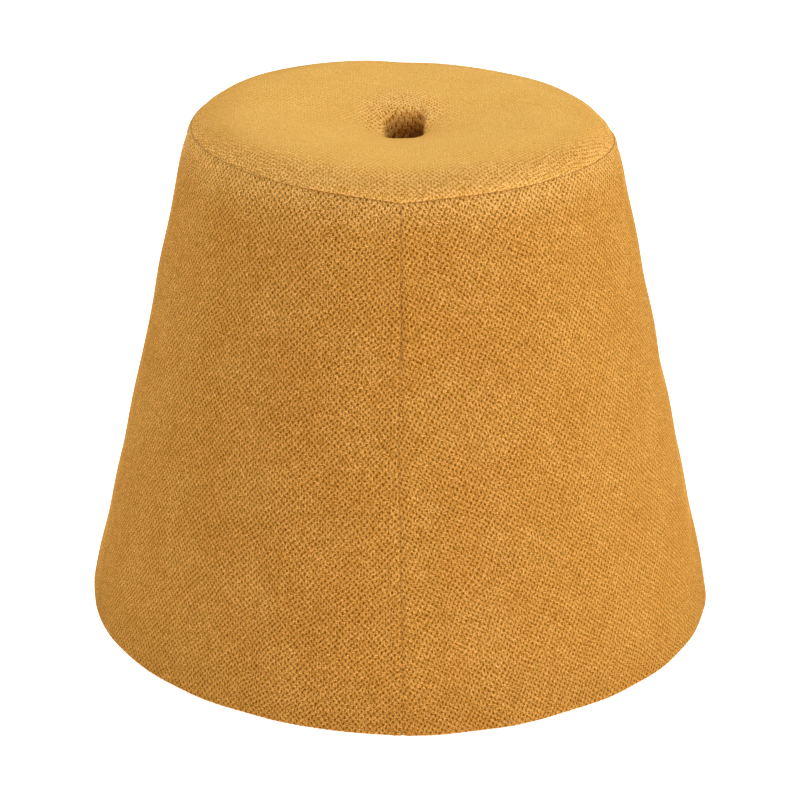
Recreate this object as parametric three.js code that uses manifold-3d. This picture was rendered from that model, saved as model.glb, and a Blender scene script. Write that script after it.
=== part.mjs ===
// A tapered, upholstered pouf: a puffed round top panel pulled in at the middle to a deep tuft, two side
// panels that meet in upright seams at the front and the back, and a flat base panel.
//
// Millimetres, +Z up, origin on the floor under the tuft. The front seam faces -Y.
// Angles are in degrees, anticlockwise from +X as seen from above.

import * as THREE from 'three';
import Module from 'manifold-3d';
import { mergeVertices } from 'three/addons/utils/BufferGeometryUtils.js';

// Driving sizes
const baseRadius = 250;
const edgeHeight = 3;
const edgeInset = 2.5;
const seamRadius = 163;
const seamHeight = 384;
const seatHeight = 399;
const clearance = 0.3;

// The upright seams and the ring seam: cloth turned in to a groove between two soft ridges
const frontAngle = -90;
const backAngle = 90;
const grooveDepth = 1.6;
const grooveWidth = 3;
const ridgeHeight = 0.8;
const ridgeOffset = 6;
const ridgeWidth = 4;
const seamDip = 5;
const seamDipSpread = 12;

// The rim of the cushion round the pouf: height of the ring seam, and of the crest of the top inside it
const rim = [
  { angle: -180, seam: 390, crest: 396 },
  { angle: -135, seam: 388.5, crest: 401 },
  { angle: -90, seam: 387, crest: 398.5 },
  { angle: -45, seam: 384, crest: 400.5 },
  { angle: 0, seam: 378, crest: 398.5 },
  { angle: 45, seam: 376, crest: 398.5 },
  { angle: 90, seam: 382, crest: 399.5 },
  { angle: 135, seam: 388, crest: 401.5 },
];

// The section of the top panel, from the ring seam in to the bottom of the tuft
const shoulder = [
  { inset: 0, rise: 0.22 },
  { inset: 4, rise: 0.42 },
  { inset: 11, rise: 0.63 },
  { inset: 22, rise: 0.82 },
  { inset: 38, rise: 0.96 },
];
const dish = [
  { radius: 110, drop: 0 },
  { radius: 90, drop: 1.4 },
  { radius: 70, drop: 4.4 },
  { radius: 52, drop: 7.8 },
  { radius: 38, drop: 11.4 },
  { radius: 28, drop: 14.4 },
  { radius: 22, drop: 17 },
  { radius: 18, drop: 21 },
  { radius: 15.5, drop: 28 },
  { radius: 14.5, drop: 44 },
  { radius: 13, drop: 61 },
  { radius: 8, drop: 69 },
];
const tuftDepth = 71;
const evenRadius = 40;

// Where the top panel's stuffing ends inside: a shallow bowl with a stem round the tuft
const bowl = [
  { radius: 136, height: 371 },
  { radius: 70, height: 366 },
];
const lipInset = 14;
const lipDrop = 6;
const stemRadius = 25;
const stemBottom = 319;

// The base panel lies in a shallow recess, level with the turned-in edge of the wall
const basePanelRadius = 238;
const basePanelThickness = 6;

// Facets round the pouf, with closer ones beside each upright seam
const evenStep = 6;
const seamSteps = [1, 2.2, 3.8];

const ochreTop = new THREE.Color(0.86, 0.63, 0.3);
const ochreSide = new THREE.Color(0.82, 0.56, 0.2);
const baseGrey = new THREE.Color(0.12, 0.11, 0.1);

// Turn from one angle to another, the short way round, in degrees
function turnBetween(from, to) {
  return THREE.MathUtils.euclideanModulo(to - from + 180, 360) - 180;
}

// Value of one column of the rim table at any angle, on a smooth closed curve through its rows
function alongRim(angle, column) {
  const span = 360 / rim.length;
  const place = THREE.MathUtils.euclideanModulo(angle - rim[0].angle, 360) / span;
  const row = Math.floor(place);
  const [before, start, end, after] = [-1, 0, 1, 2].map(
    (step) => rim[THREE.MathUtils.euclideanModulo(row + step, rim.length)][column],
  );
  const t = place - row;
  const bend = 2 * before - 5 * start + 4 * end - after;
  const twist = 3 * (start - end) + after - before;
  return start + 0.5 * t * (end - before + t * (bend + t * twist));
}

// The ring seam is drawn down where an upright seam meets it
function ringSeamHeight(angle) {
  const dips = [frontAngle, backAngle].map(
    (seam) => Math.exp(-Math.abs(turnBetween(seam, angle)) / seamDipSpread),
  );
  return alongRim(angle, 'seam') - seamDip * (dips[0] + dips[1]);
}

function wallRadius(height) {
  const taper = (baseRadius - seamRadius) / (seamHeight - edgeHeight);
  return baseRadius - taper * (height - edgeHeight);
}

// How far the cloth stands out at a distance from a seam: a groove with a ridge on each side
function seamRelief(distance) {
  const groove = Math.exp(-((distance / grooveWidth) ** 2));
  const ridge = Math.exp(-(((Math.abs(distance) - ridgeOffset) / ridgeWidth) ** 2));
  return ridgeHeight * ridge - grooveDepth * groove;
}

function uprightRelief(angle, radius) {
  const nearest = Math.abs(turnBetween(frontAngle, angle)) < 90 ? frontAngle : backAngle;
  const distance = THREE.MathUtils.degToRad(turnBetween(nearest, angle)) * radius;
  return seamRelief(distance);
}

function columnAngles() {
  const angles = [];
  for (let angle = -180; angle < 180; angle += evenStep) angles.push(angle);
  for (const seam of [frontAngle, backAngle]) {
    for (const step of seamSteps) angles.push(seam - step, seam + step);
  }
  return angles.sort((a, b) => a - b);
}

// A closed solid from a section for each angle, given as [radius, height] points that run from the axis
// at the bottom round the outside to the axis at the top. Each four-sided facet is split from its outer
// corner to the inner one of the next section, so that two surfaces that face each other match.
function roundSolid(sectionAt) {
  const angles = columnAngles();
  const sections = angles.map(sectionAt);
  const rows = sections[0].length;
  const first = sections[0][0];
  const last = sections[0][rows - 1];
  const positions = [0, 0, first[1], 0, 0, last[1]];
  angles.forEach((angle, column) => {
    const turn = THREE.MathUtils.degToRad(angle);
    for (const [radius, height] of sections[column].slice(1, rows - 1)) {
      positions.push(radius * Math.cos(turn), radius * Math.sin(turn), height);
    }
  });
  const inner = rows - 2;
  const at = (column, row) => 2 + (column % angles.length) * inner + row;
  const faces = [];
  for (let column = 0; column < angles.length; column += 1) {
    faces.push(0, at(column + 1, 0), at(column, 0));
    faces.push(1, at(column, inner - 1), at(column + 1, inner - 1));
    for (let row = 0; row < inner - 1; row += 1) {
      const [a, b] = [at(column, row), at(column + 1, row)];
      const [c, d] = [at(column + 1, row + 1), at(column, row + 1)];
      const narrows = sections[column][row + 1][0] >= sections[column][row + 2][0];
      faces.push(...(narrows ? [a, b, c, a, c, d] : [a, b, d, b, c, d]));
    }
  }
  const geometry = new THREE.BufferGeometry();
  geometry.setAttribute('position', new THREE.Float32BufferAttribute(positions, 3));
  geometry.setIndex(faces);
  return geometry;
}

// Points where the top panel and the side panels face each other, from the ring seam in to the stem
function innerFace(angle) {
  const seam = ringSeamHeight(angle);
  const edge = wallRadius(seam) - grooveDepth;
  return [
    [edge, seam],
    [edge - lipInset, seam - lipDrop],
    ...bowl.map(({ radius, height }) => [radius, height]),
  ];
}

// Height of the top panel's crest at an angle, blended in to one height round the tuft
function crestHeight(angle, radius) {
  const evenness = THREE.MathUtils.smoothstep(radius, evenRadius, dish[0].radius);
  return THREE.MathUtils.lerp(seatHeight, alongRim(angle, 'crest'), evenness);
}

function topSection(angle) {
  const seam = ringSeamHeight(angle);
  const seamEdge = wallRadius(seam);
  const crest = crestHeight(angle, seamRadius);
  const under = innerFace(angle).map(([radius, height]) => [radius, height + clearance / 2]);
  const puff = shoulder.map(({ inset, rise }) => [
    seamEdge + ridgeHeight - inset,
    THREE.MathUtils.lerp(seam, crest, rise),
  ]);
  const middle = dish.map(({ radius, drop }) => [radius, crestHeight(angle, radius) - drop]);
  return [
    [0, stemBottom],
    [stemRadius, stemBottom],
    [stemRadius, bowl[bowl.length - 1].height + clearance / 2],
    ...under.reverse(),
    ...puff,
    ...middle,
    [0, seatHeight - tuftDepth],
  ];
}

function wallSection(angle) {
  const seam = ringSeamHeight(angle);
  const relief = (height) => uprightRelief(angle, wallRadius(height));
  const rise = [edgeHeight, 0.25 * seam, 0.5 * seam, 0.75 * seam, seam - ridgeOffset, seam - grooveWidth];
  const under = innerFace(angle).map(([radius, height]) => [radius, height - clearance / 2]);
  const recess = basePanelRadius + 2 * clearance;
  const stem = stemRadius + clearance;
  return [
    [0, basePanelThickness + clearance],
    [recess, basePanelThickness + clearance],
    [recess, 0],
    [baseRadius - edgeInset + relief(0), 0],
    ...rise.map((height) => [wallRadius(height) + relief(height), height]),
    ...under,
    [stem, bowl[bowl.length - 1].height - clearance / 2],
    [stem, stemBottom - clearance],
    [0, stemBottom - clearance],
  ];
}

const wasm = await Module();
wasm.setup();

function toSolid(geometry) {
  const bare = geometry.clone();
  bare.deleteAttribute('normal');
  bare.deleteAttribute('uv');
  const merged = mergeVertices(bare);
  const vertProperties = new Float32Array(merged.attributes.position.array);
  const triVerts = new Uint32Array(merged.index.array);
  return new wasm.Manifold(new wasm.Mesh({ numProp: 3, vertProperties, triVerts }));
}

function toGeometry(solid) {
  const { vertProperties, triVerts } = solid.getMesh();
  const geometry = new THREE.BufferGeometry();
  geometry.setAttribute('position', new THREE.BufferAttribute(vertProperties, 3));
  geometry.setIndex(new THREE.BufferAttribute(triVerts, 1));
  return geometry;
}

// The half of a round solid on one side of the plane through the front and back seams
function halfOf(solid, side) {
  const size = 2 * baseRadius + 20;
  const block = new THREE.BoxGeometry(size, size, 2 * seatHeight + 20);
  block.translate(side * (size / 2 + clearance / 2), 0, seatHeight / 2);
  return toGeometry(solid.intersect(toSolid(block)));
}

function cloth(color) {
  return new THREE.MeshStandardMaterial({ color, roughness: 0.95, metalness: 0 });
}

function namedMesh(name, geometry, material) {
  const mesh = new THREE.Mesh(geometry, material);
  mesh.name = name;
  return mesh;
}

function topPanel() {
  return namedMesh('top_panel', roundSolid(topSection), cloth(ochreTop));
}

function sidePanels() {
  const wall = new THREE.Group();
  const body = toSolid(roundSolid(wallSection));
  wall.add(namedMesh('side_panel_left', halfOf(body, -1), cloth(ochreSide)));
  wall.add(namedMesh('side_panel_right', halfOf(body, 1), cloth(ochreSide)));
  return wall;
}

function basePanel() {
  const sides = 360 / evenStep;
  const disc = new THREE.CylinderGeometry(basePanelRadius, basePanelRadius, basePanelThickness, sides);
  const mesh = namedMesh('base_panel', disc, cloth(baseGrey));
  mesh.rotation.x = Math.PI / 2;
  mesh.position.z = basePanelThickness / 2;
  return mesh;
}

const pouf = new THREE.Group();
pouf.add(topPanel(), sidePanels(), basePanel());

export default pouf;
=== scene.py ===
# Dresses the solids of the upholstered pouf: woven covers, sewn seams, a deep tuft, light and a camera.
# Metres, +Z up, the front seam faces -Y. Angles are in degrees, anticlockwise from +X as seen from above.
import math

import bmesh
import bpy
import numpy as np
from mathutils import Matrix, Vector
from mathutils.geometry import delaunay_2d_cdt


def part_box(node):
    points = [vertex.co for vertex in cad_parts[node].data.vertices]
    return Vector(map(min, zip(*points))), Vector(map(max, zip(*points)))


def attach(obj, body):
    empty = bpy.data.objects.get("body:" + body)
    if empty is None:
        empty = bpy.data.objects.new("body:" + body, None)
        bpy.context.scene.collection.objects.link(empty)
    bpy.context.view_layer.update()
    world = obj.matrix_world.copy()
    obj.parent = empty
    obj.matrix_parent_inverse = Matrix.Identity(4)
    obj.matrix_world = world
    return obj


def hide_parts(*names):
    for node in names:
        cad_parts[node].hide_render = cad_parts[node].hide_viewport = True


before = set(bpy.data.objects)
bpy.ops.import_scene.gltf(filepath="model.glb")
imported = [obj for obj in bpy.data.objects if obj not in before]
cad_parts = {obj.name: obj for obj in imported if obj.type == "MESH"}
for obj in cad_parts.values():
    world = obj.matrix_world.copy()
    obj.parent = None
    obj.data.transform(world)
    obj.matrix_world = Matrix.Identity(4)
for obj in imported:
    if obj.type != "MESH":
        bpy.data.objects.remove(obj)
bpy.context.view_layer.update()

MM = 0.001

# Sizes of the body, as in the part: the wall's taper, and the heights of the ring seam and of the seat
BASE_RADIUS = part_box("side_panel_right")[1].x
BASE_PANEL_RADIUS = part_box("base_panel")[1].x
BASE_PANEL_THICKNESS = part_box("base_panel")[1].z
EDGE_HEIGHT = 3 * MM
SEAM_RADIUS = 163 * MM
SEAM_HEIGHT = 384 * MM
SEAT_HEIGHT = 399 * MM
SEAM_GAP = 0.1 * MM
FRONT = -90
BACK = 90

# Form of the stuffed body round the pouf, in millimetres: height of the ring seam and of the crest inside
# it, how far the wall's foot, waist and head stand out from an even cone, and how far the shoulder is
# rounded in
FORM = {
    "angle": (-180, -150, -120, -90, -60, -30, 0, 30, 60, 90, 120, 150),
    "seam": (388.2, 388.5, 386.7, 385.6, 385, 383.8, 378.6, 375, 376, 381, 385.5, 387.5),
    "crest": (398, 400.6, 400.5, 398.5, 400, 400, 399, 399.3, 397.8, 399, 400.8, 402.4),
    "foot": (-1, 0.2, 0.4, 3.2, 2.2, 2.4, 0.2, 0, 0, 2, -1, 1),
    "waist": (-1, 0, 0, 0.4, 0, 0.2, 0.2, 0.5, 0, 0.4, 0, -0.5),
    "head": (0.8, 0.8, 0, 0, 0, 0.1, 0.1, 0, 0, 0, 0, 0.5),
    "shoulder": (6.8, 3.2, 0.5, 0, 0.5, 2.5, 5.4, 3.4, 2, 1, 1, 3),
}
WAIST_HEIGHT = 190 * MM
HEAD_HEIGHT = 350 * MM

# How far the ring seam and the crest dip where they meet an upright seam, and over how many degrees, and how
# far the ring seam draws the wall's cloth in
SEAM_DIP = 5 * MM
SEAM_DIP_SPREAD = 12
CREST_DIP = 1.5 * MM
CREST_DIP_SPREAD = 9
SEAM_DRAW = 2 * MM
SEAM_DRAW_REACH = 14 * MM

# Slow swells of the stuffing. On the top they start between these distances from the middle
SWELL_SIZE = 70 * MM
WALL_SWELL = 0.3 * MM
TOP_SWELL = 0.25 * MM
SWELL_START = (20 * MM, 60 * MM)

# Section of the top from the ring seam in: inset from the seam in millimetres, rise as a share of the way to
# the crest, and how much of the shoulder's rounding it takes
SHOULDER = {
    "inset": (0.8, 0.4, 2.4, 6.4, 13, 23, 38),
    "rise": (0.08, 0.2, 0.36, 0.54, 0.71, 0.86, 0.965),
    "give": (0.3, 0.7, 1.1, 1.1, 0.8, 0.3, 0),
}

# Section of the top from the crest in to the bottom of the tuft, in millimetres: its drop below the crest,
# and how far to the back and the right it lies
DISH = {
    "radius": (110, 90, 70, 52, 38, 28, 22, 18.2, 16.2, 15.6, 15.2, 14.5, 13, 8, 0),
    "drop": (0, 1.4, 4.4, 7.8, 11.4, 14.3, 16.2, 17.6, 20, 24, 30, 44, 61, 69, 71),
    "back": (0, 0, 0, 0, 0, 0, 0.5, 1, 2.5, 4, 5.5, 7, 6, 4, 3.5),
    "right": (0, 0, 0, 0, 0, 0, 1.1, 1.5, 1.7, 2.1, 2.8, 3.5, 3.5, 2.5, 2),
}

# Inside this radius the seat no longer follows the crest
EVEN_RADIUS = 40 * MM

# The dish is shallower towards one angle: the drop from which on it is so in full, by how much, the angle,
# and the radii between which this ends inside the tuft
RIM_DROP = 16.2 * MM
TUFT_LEAN = 13 * MM
LEAN_ANGLE = 72
LEAN_RADIUS = (13 * MM, 20 * MM)

# Radius at which the cloth turns down into the tuft, how square the tuft is in plan, and the radii between
# which it grows square
LIP_RADIUS = 22 * MM
SQUARENESS = 0.09
SQUARE_RADIUS = (27 * MM, 19 * MM)

# Hidden faces, where the panels meet inside: a lip under the ring seam, a bowl, a stem round the tuft, the
# room left round the stem and the base panel, and the rings of points on them, in millimetres
LIP_INSET = 14 * MM
LIP_DROP = 6 * MM
BOWL = [
    {"radius": 136, "height": 371},
    {"radius": 70, "height": 366},
]
STEM_RADIUS = 25 * MM
STEM_BOTTOM = 319 * MM
STEM_EDGE = 0.4 * MM
STEM_ROOM = 0.6 * MM
BASE_ROOM = 0.2 * MM
BASE_HEADROOM = 0.6 * MM
TOP_RINGS = (146, 136, 110, 90, 70, 45, 25.4, 24.6, 12)
UNDER_RINGS = (146, 136, 110, 90, 70, 45, 26.4, 25.4, 12)
FLOOR_RINGS = (238.4, 237.9, 190, 140, 90, 45)
LOW_CORNERS = [(-240.5, 3.5), (240.5, 3.5)]

# The two sides press on each other along a wavy plane
PRESS_DEPTH = 3 * MM
PRESS_LENGTH = 15 * MM

# Seams: the cloth turns in to a narrow crease between two soft ridges
CREASE_DEPTH = 0.6 * MM
CREASE_WIDTH = 0.7 * MM
RIDGE_HEIGHT = 0.7 * MM
RIDGE_OFFSET = 4.5 * MM
RIDGE_WIDTH = 3.5 * MM
EDGE_ROUND = 2 * MM

# The weave and the swells fade out this near to a seam and to the bottom of the tuft
WALL_FADE = 3 * MM
TOP_FADE = 2 * MM
BOTTOM_FADE = 8 * MM

# Weave: plump weft yarns lie on top, and dive side by side under the warp, which shows as a slit in each
# hollow. The yarns wander from a straight grid
WARP_STEP = 2.2 * MM
WEFT_STEP = 2.45 * MM
YARN_DIVE = 1.0 * MM
YARN_ROUND = 0.5 * MM
WARP_SINK = 0.7 * MM
WARP_ROUND = 0.3 * MM
YARN_BULGE = 0.12
YARN_FULLNESS = 1.7
DIVE_START = 0.5
MESH_RELIEF = 0.6
WANDER = 0.7 * MM
WANDER_SIZE = 40 * MM

# Distance between the points of a cover, in yarns, with closer ones in the tuft, inside these radii
YARN_STEP = 0.5
TUFT_STEP = 0.25
TUFT_POINTS = (23.4 * MM, 24 * MM)

# The cloth lies smooth on the seat. Its weave opens between these distances from a point behind the tuft,
# where it bends to the front of the rim and into the tuft
SMOOTHNESS = 0.6
OPEN_CENTRE = 20 * MM
OPEN_RIM = (143 * MM, 168 * MM)
OPEN_TUFT = (42 * MM, 20 * MM)

# The tuft's cloth has painted shade below these heights and inside these radii, and more so on its right
TUFT_SHADE = (377 * MM, 359 * MM)
TUFT_SHADE_RADIUS = (19 * MM, 24 * MM)
SHADE_SLOPE = -0.6
SHADE = 0.27

# Where the seat's paler colour, which is painted sheen and top light, fades into the colour of the wall, by
# radius and by height, and how much of it is left
PAINTED_SHEEN_RIM = (156 * MM, 118 * MM)
PAINTED_SHEEN_WALL = (352 * MM, 388 * MM)
RIM_PAINTED_SHEEN = 0.6
WALL_PAINTED_SHEEN = 0.45
# Up to which height the wall's foot has painted shade, darker towards the floor, and how dark it gets there
FOOT_SHADE_HEIGHTS = (5 * MM, 60 * MM)
FOOT_SHADE = 0.93

# Grain of the three pieces of cloth, in degrees
LEFT_GRAIN = -6
RIGHT_GRAIN = 15
TOP_GRAIN = 3

# The front seam isn't quite upright: how far it lies to the right of the middle, by height
FRONT_SWAY = {
    "height": (0, 60, 110, 160, 205, 250, 300, 340, 384),
    "sway": (3.8, 2.9, 1.3, 0.4, -1, -0.8, 0.2, -0.6, -1),
}
SWAY_SPREAD = 35

taper = (BASE_RADIUS - SEAM_RADIUS) / (SEAM_HEIGHT - EDGE_HEIGHT)
wall_tilt = math.atan(taper)
apex_reach = BASE_RADIUS / math.sin(wall_tilt)


def smoothstep(value, low, high):
    t = np.clip((value - low) / (high - low), 0, 1)
    return t * t * (3 - 2 * t)


def turn_between(start, end):
    """Turn from one angle to another, the short way round."""
    return (end - start + 180) % 360 - 180


def smooth_curve(before, start, end, after, t):
    """Value a share t of the way from start to end, on a smooth curve through all four."""
    bend = 2 * before - 5 * start + 4 * end - after
    twist = 3 * (start - end) + after - before
    return start + 0.5 * t * (end - before + t * (bend + t * twist))


def along_form(angle, column):
    """A column of the form table at any angle, on a smooth closed curve through its rows."""
    values = np.array(FORM[column]) * MM
    place = ((angle - FORM["angle"][0]) % 360) / (360 / len(values))
    row = np.floor(place).astype(int)
    beside = (values[(row + step) % len(values)] for step in (-1, 0, 1, 2))
    return smooth_curve(*beside, place - row)


def ring_seam_height(angle):
    """The ring seam is drawn down where an upright seam meets it."""
    dips = sum(np.exp(-np.abs(turn_between(seam, angle)) / SEAM_DIP_SPREAD) for seam in (FRONT, BACK))
    return along_form(angle, "seam") - SEAM_DIP * dips


def crest_height(angle):
    dips = sum(np.exp(-((turn_between(seam, angle) / CREST_DIP_SPREAD) ** 2)) for seam in (FRONT, BACK))
    return along_form(angle, "crest") - CREST_DIP * dips


def wall_radius(height):
    return BASE_RADIUS - taper * (height - EDGE_HEIGHT)


def wall_lean(angle, height):
    """How far the wall stands out from an even cone."""
    foot, waist, head = (along_form(angle, column) for column in ("foot", "waist", "head"))
    lower = foot + (waist - foot) * smoothstep(height, 0, WAIST_HEIGHT)
    return lower + (head - lower) * smoothstep(height, WAIST_HEIGHT, HEAD_HEIGHT)


def ring_seam_radius(angle):
    height = ring_seam_height(angle)
    return wall_radius(height) + wall_lean(angle, height) - SEAM_DRAW


def seam_relief(distance):
    """How far the cloth stands out near a seam: a narrow crease beside a soft ridge."""
    crease = np.exp(-distance / CREASE_WIDTH)
    ridge = np.exp(-(((distance - RIDGE_OFFSET) / RIDGE_WIDTH) ** 2))
    return RIDGE_HEIGHT * ridge - CREASE_DEPTH * crease


def slow_waves(x, y, size, seed, waves=14):
    """A smooth random height from -1 to 1 or so, with swells about size apart."""
    rng = np.random.default_rng(seed)
    total = np.zeros_like(x)
    for _ in range(waves):
        turn, phase = rng.uniform(0, 2 * np.pi, 2)
        number = 2 * np.pi / (size * rng.uniform(0.7, 1.6))
        total += np.sin(number * (x * np.cos(turn) + y * np.sin(turn)) + phase)
    return total / math.sqrt(waves / 2)


def polar(points):
    """Distance from the middle and angle round the body of flat points."""
    return np.hypot(*points.T), np.degrees(np.arctan2(points[:, 1], points[:, 0]))


def round_body(radius, angle, *height):
    """Points at a radius and an angle, flat or at a height."""
    theta = np.radians(angle)
    return np.column_stack([radius * np.cos(theta), radius * np.sin(theta), *height])


# The weave in the flat cloth


def yarn_place(x, y, grain):
    """Place in the cloth, counted in yarns along the two directions of the weave."""
    turn = math.radians(grain)
    across = x * math.cos(turn) + y * math.sin(turn)
    along = y * math.cos(turn) - x * math.sin(turn)
    return across / WARP_STEP, along / WEFT_STEP


def cloth_place(u, v, grain):
    turn = math.radians(grain)
    across, along = u * WARP_STEP, v * WEFT_STEP
    return across * math.cos(turn) - along * math.sin(turn), across * math.sin(turn) + along * math.cos(turn)


def weave_wander(x, y, seed):
    """How far the yarns stray from a straight grid."""
    return [WANDER * slow_waves(x, y, WANDER_SIZE, seed + way) for way in (0, 1)]


def crossings(low, high, grain, step):
    """Yarn crossings, and the points midway between them, over a rectangle of cloth: (u, v) rows."""
    corners = [(x, y) for x in (low[0], high[0]) for y in (low[1], high[1])]
    u, v = np.array([yarn_place(x, y, grain) for x, y in corners]).T
    us = np.arange(math.floor(u.min()), math.ceil(u.max()) + step, step)
    vs = np.arange(math.floor(v.min()), math.ceil(v.max()) + step, step)
    u, v = (a.ravel() for a in np.meshgrid(us, vs))
    parity = np.round((u + v) / step).astype(int) % 2
    return u[parity == 0], v[parity == 0]


def weave_height(u, v):
    """Height of the woven surface, 0 on the knuckles of the weft. u counts warp yarns and v weft yarns."""
    v = v - YARN_BULGE * np.cos(np.pi * u) * np.sin(np.pi * v)
    row = np.round(v)
    along = np.abs((u - row + 1) % 2 - 1)
    fall = 1 - np.sqrt(1 - (YARN_FULLNESS * (v - row)) ** 2)
    weft = -YARN_DIVE * smoothstep(along, DIVE_START, 1) - YARN_ROUND * fall
    warp = -WARP_SINK - WARP_ROUND * (1 - np.cos(np.pi * (u - np.round(u))))
    return np.maximum(weft, warp)


def yarn_points(low, high, grain, step, jitter, seed, rng):
    """Crossings over a rectangle of cloth, where the yarns wander to: place in the cloth and the weave."""
    u, v = crossings(low, high, grain, step)
    x, y = cloth_place(u, v, grain)
    dx, dy = weave_wander(x, y, seed)
    x = x + dx + rng.normal(0, jitter, len(x))
    y = y + dy + rng.normal(0, jitter, len(y))
    return x, y, u, v


def weave_place(flat, grain, seed):
    """Place in the weave of any points of the flat cloth, as (u, v) rows."""
    dx, dy = weave_wander(*flat.T, seed)
    return np.array(yarn_place(flat[:, 0] - dx, flat[:, 1] - dy, grain)).T


# The wall, as a smooth line from under the base edge to the ring seam


def wall_line(slant):
    """Radius, height and outward direction at a distance up the wall from its base edge."""
    across, up = math.cos(wall_tilt), math.sin(wall_tilt)
    tangent_height = EDGE_ROUND * (1 + up)
    tangent_radius = wall_radius(tangent_height)
    tangent_slant = (tangent_height - EDGE_HEIGHT) / across
    turn = np.clip((tangent_slant - slant) / EDGE_ROUND, 0, math.pi / 2 + wall_tilt)
    angle = wall_tilt - turn
    past = np.maximum(tangent_slant - slant - EDGE_ROUND * (math.pi / 2 + wall_tilt), 0)
    climb = np.maximum(slant - tangent_slant, 0)
    centre = tangent_radius - EDGE_ROUND * across
    radius = centre + EDGE_ROUND * np.cos(angle) - past - up * climb
    height = EDGE_ROUND * (1 + np.sin(angle)) + across * climb
    return radius, height, np.cos(angle), np.sin(angle)


def seam_slant(angle):
    """Distance up the wall at which the ring seam lies."""
    return (ring_seam_height(angle) - EDGE_HEIGHT) / math.cos(wall_tilt)


# Closed pieces of cloth


def triangulated(loop, inner):
    """Triangles over a closed loop of flat points and the points inside it, as indices into both."""
    outline = list(range(len(loop)))
    scaled = [tuple(p) for p in (np.vstack([loop, inner]) / MM)]
    found = delaunay_2d_cdt(scaled, [], [outline], 1, 1e-6)
    first = [ids[0] for ids in found[3]]
    return [[first[i] for i in face] for face in found[2]]


def on_sheet(flat, scale, shift, turn=0):
    """Flat points turned, scaled and moved to their place on the unit square of the baked pattern."""
    x, y = flat.T
    across = x * math.cos(turn) - y * math.sin(turn)
    along = x * math.sin(turn) + y * math.cos(turn)
    return np.column_stack([across, along]) * scale + shift


def add_object(name, data):
    made = bpy.data.objects.new(name, data)
    bpy.context.scene.collection.objects.link(made)
    return made


def add_piece(name, mesh, material):
    """Adds a finished mesh, smooth and in one material."""
    mesh.polygons.foreach_set("use_smooth", [True] * len(mesh.polygons))
    mesh.materials.append(material)
    return add_object(name, mesh)


def face_outward(mesh):
    form = bmesh.new()
    form.from_mesh(mesh)
    bmesh.ops.recalc_face_normals(form, faces=form.faces)
    form.to_mesh(mesh)
    form.free()


class Cover:
    """Points and faces of one closed piece, with their places in the weave and on the baked pattern."""

    def __init__(self):
        self.points = np.empty((0, 3))
        self.weave = np.empty((0, 2))
        self.faces = []
        self.places = []

    def add(self, points, weave=None):
        """Adds points and returns their numbers."""
        start = len(self.points)
        self.points = np.vstack([self.points, points])
        self.weave = np.vstack([self.weave, np.zeros((len(points), 2)) if weave is None else weave])
        return np.arange(start, len(self.points))

    def fill(self, loop, inner, flat, sheet):
        """Fills a loop of points with triangles that also use the inner points. flat lays them all out."""
        faces = np.array(triangulated(flat[:len(loop)], flat[len(loop):]))
        self.faces.append(np.concatenate([loop, inner])[faces])
        self.places.append(on_sheet(flat, **sheet)[faces])

    def fill_behind(self, loop, inner, axes, sheet):
        """Fills a loop with hidden faces, laid out flat along two axes."""
        inner = self.add(inner)
        self.fill(loop, inner, self.points[np.concatenate([loop, inner])][:, axes], sheet)

    def piece(self, name, material):
        faces = np.vstack(self.faces)
        mesh = bpy.data.meshes.new(name)
        mesh.from_pydata(self.points.tolist(), [], faces.tolist())
        mesh.uv_layers.new(name="Yarns").data.foreach_set("uv", self.weave[faces].ravel())
        mesh.uv_layers.new(name="OFBake").data.foreach_set("uv", np.vstack(self.places).ravel())
        face_outward(mesh)
        return add_piece(name, mesh, material)


# Hidden faces between the top panel and the wall


def under_height(radius, angle):
    """Height at which the top panel lies on the body, from the stem round the tuft out to the ring seam."""
    rows = [(0, STEM_BOTTOM), (STEM_RADIUS - STEM_EDGE, STEM_BOTTOM)]
    rows += [(STEM_RADIUS + STEM_EDGE, BOWL[1]["height"] * MM)]
    rows += [(row["radius"] * MM, row["height"] * MM) for row in reversed(BOWL)]
    inside = np.interp(radius, [r for r, _ in rows], [z for _, z in rows])
    seam = ring_seam_height(angle)
    edge = ring_seam_radius(angle) - CREASE_DEPTH
    lip = edge - LIP_INSET
    bowl_edge, bowl_height = BOWL[0]["radius"] * MM, BOWL[0]["height"] * MM
    rim_height = seam - CREASE_DEPTH * math.sin(wall_tilt)
    rise = bowl_height + (seam - LIP_DROP - bowl_height) * (radius - bowl_edge) / (lip - bowl_edge)
    slope = seam - LIP_DROP + (rim_height - seam + LIP_DROP) * (radius - lip) / LIP_INSET
    return np.where(radius < bowl_edge, inside, np.where(radius < lip, rise, slope))


# Side panels

SEAM_ROWS = np.array([0.4, 1, 1.9, 3]) * MM
SEAM_MARGIN = 3.9 * MM
EDGE_STEP = 2 * MM
BOTTOM_MARGIN = 0.8 * MM
UNDER_REACH = 12 * MM
bottom_slant = -UNDER_REACH
panel_spread = math.pi * math.sin(wall_tilt)


def flat_wall(turn, slant, side):
    """Place in the flat cloth of a point of the wall, a turn away from the front seam."""
    reach = apex_reach - slant
    return side * reach * np.sin(turn), apex_reach - reach * np.cos(turn)


def wall_place(x, y, side):
    """Turn in the flat cloth, slant and angle round the body of a place in the flat cloth."""
    reach = np.hypot(x, apex_reach - y)
    turn = np.arctan2(side * x, apex_reach - y)
    return turn, apex_reach - reach, angle_of(turn, side)


def angle_of(turn, side):
    return FRONT + side * np.degrees(turn) / math.sin(wall_tilt)


def stepped(start, end, step):
    return np.linspace(start, end, max(2, round(abs(end - start) / step) + 1))


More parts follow.
